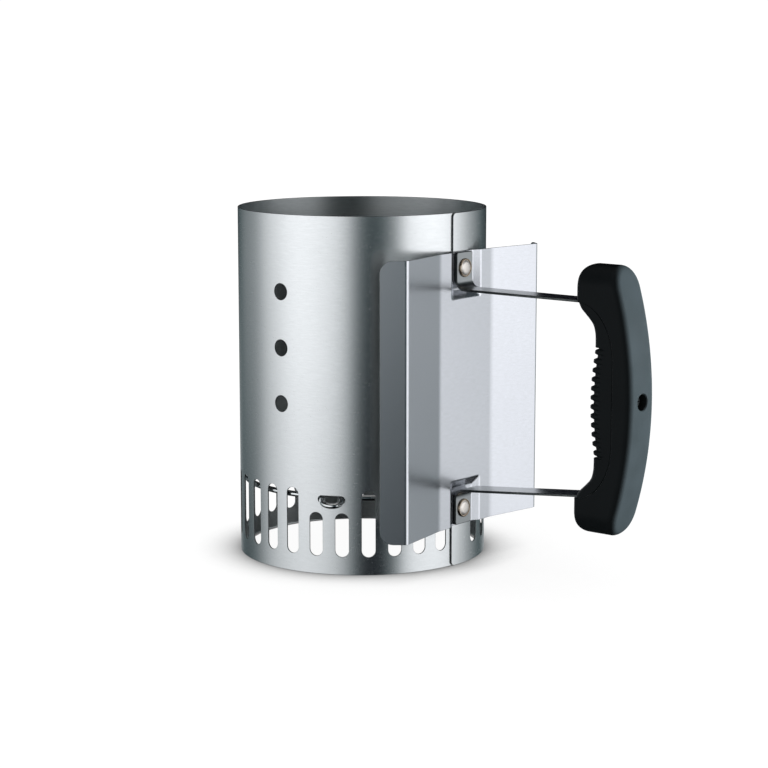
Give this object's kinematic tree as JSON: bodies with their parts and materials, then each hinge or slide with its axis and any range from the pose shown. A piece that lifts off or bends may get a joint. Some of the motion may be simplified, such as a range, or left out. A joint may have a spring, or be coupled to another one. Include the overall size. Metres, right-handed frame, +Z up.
{
  "type": "chimney charcoal starter",
  "caption": "Cylindrical sheet-steel charcoal starter with a slotted foot, wire grate, folded heat shield and a strap handle with a ribbed plastic grip.",
  "frame": {"origin": "middle of the whole part's footprint, on the ground under the chimney's bottom edge", "axes": "+Z up along the chimney, +X from the chimney towards the grip, which is the longest way across"},
  "size_m": [0.2982, 0.1586, 0.22],
  "materials": {
    "sheet_steel": "satin aluminised sheet, faintly brushed",
    "strap_steel": "satin flat bar",
    "grate_wire": "bright plated wire",
    "rivet_metal": "polished, copper-tinted",
    "grip_plastic": "satin black, heat resistant",
    "screw_steel": "dull plated"
  },
  "bodies": {
    "root": {"body_sheet": "sheet_steel", "heat_shield": "sheet_steel", "handle_strap": "strap_steel", "rivet_upper": "rivet_metal", "rivet_lower": "rivet_metal", "grip_back_shell": "grip_plastic", "grip_finger_piece": "grip_plastic", "grip_screw": "screw_steel", "grate_ring": "grate_wire", "grate_bar_1": "grate_wire", "grate_bar_2": "grate_wire", "grate_bar_3": "grate_wire", "grate_bar_4": "grate_wire", "grate_bar_5": "grate_wire", "grate_bar_6": "grate_wire", "grate_bar_7": "grate_wire", "grate_bar_8": "grate_wire", "grate_bar_9": "grate_wire", "grate_stiffener": "grate_wire"}
  },
  "joints": []
}
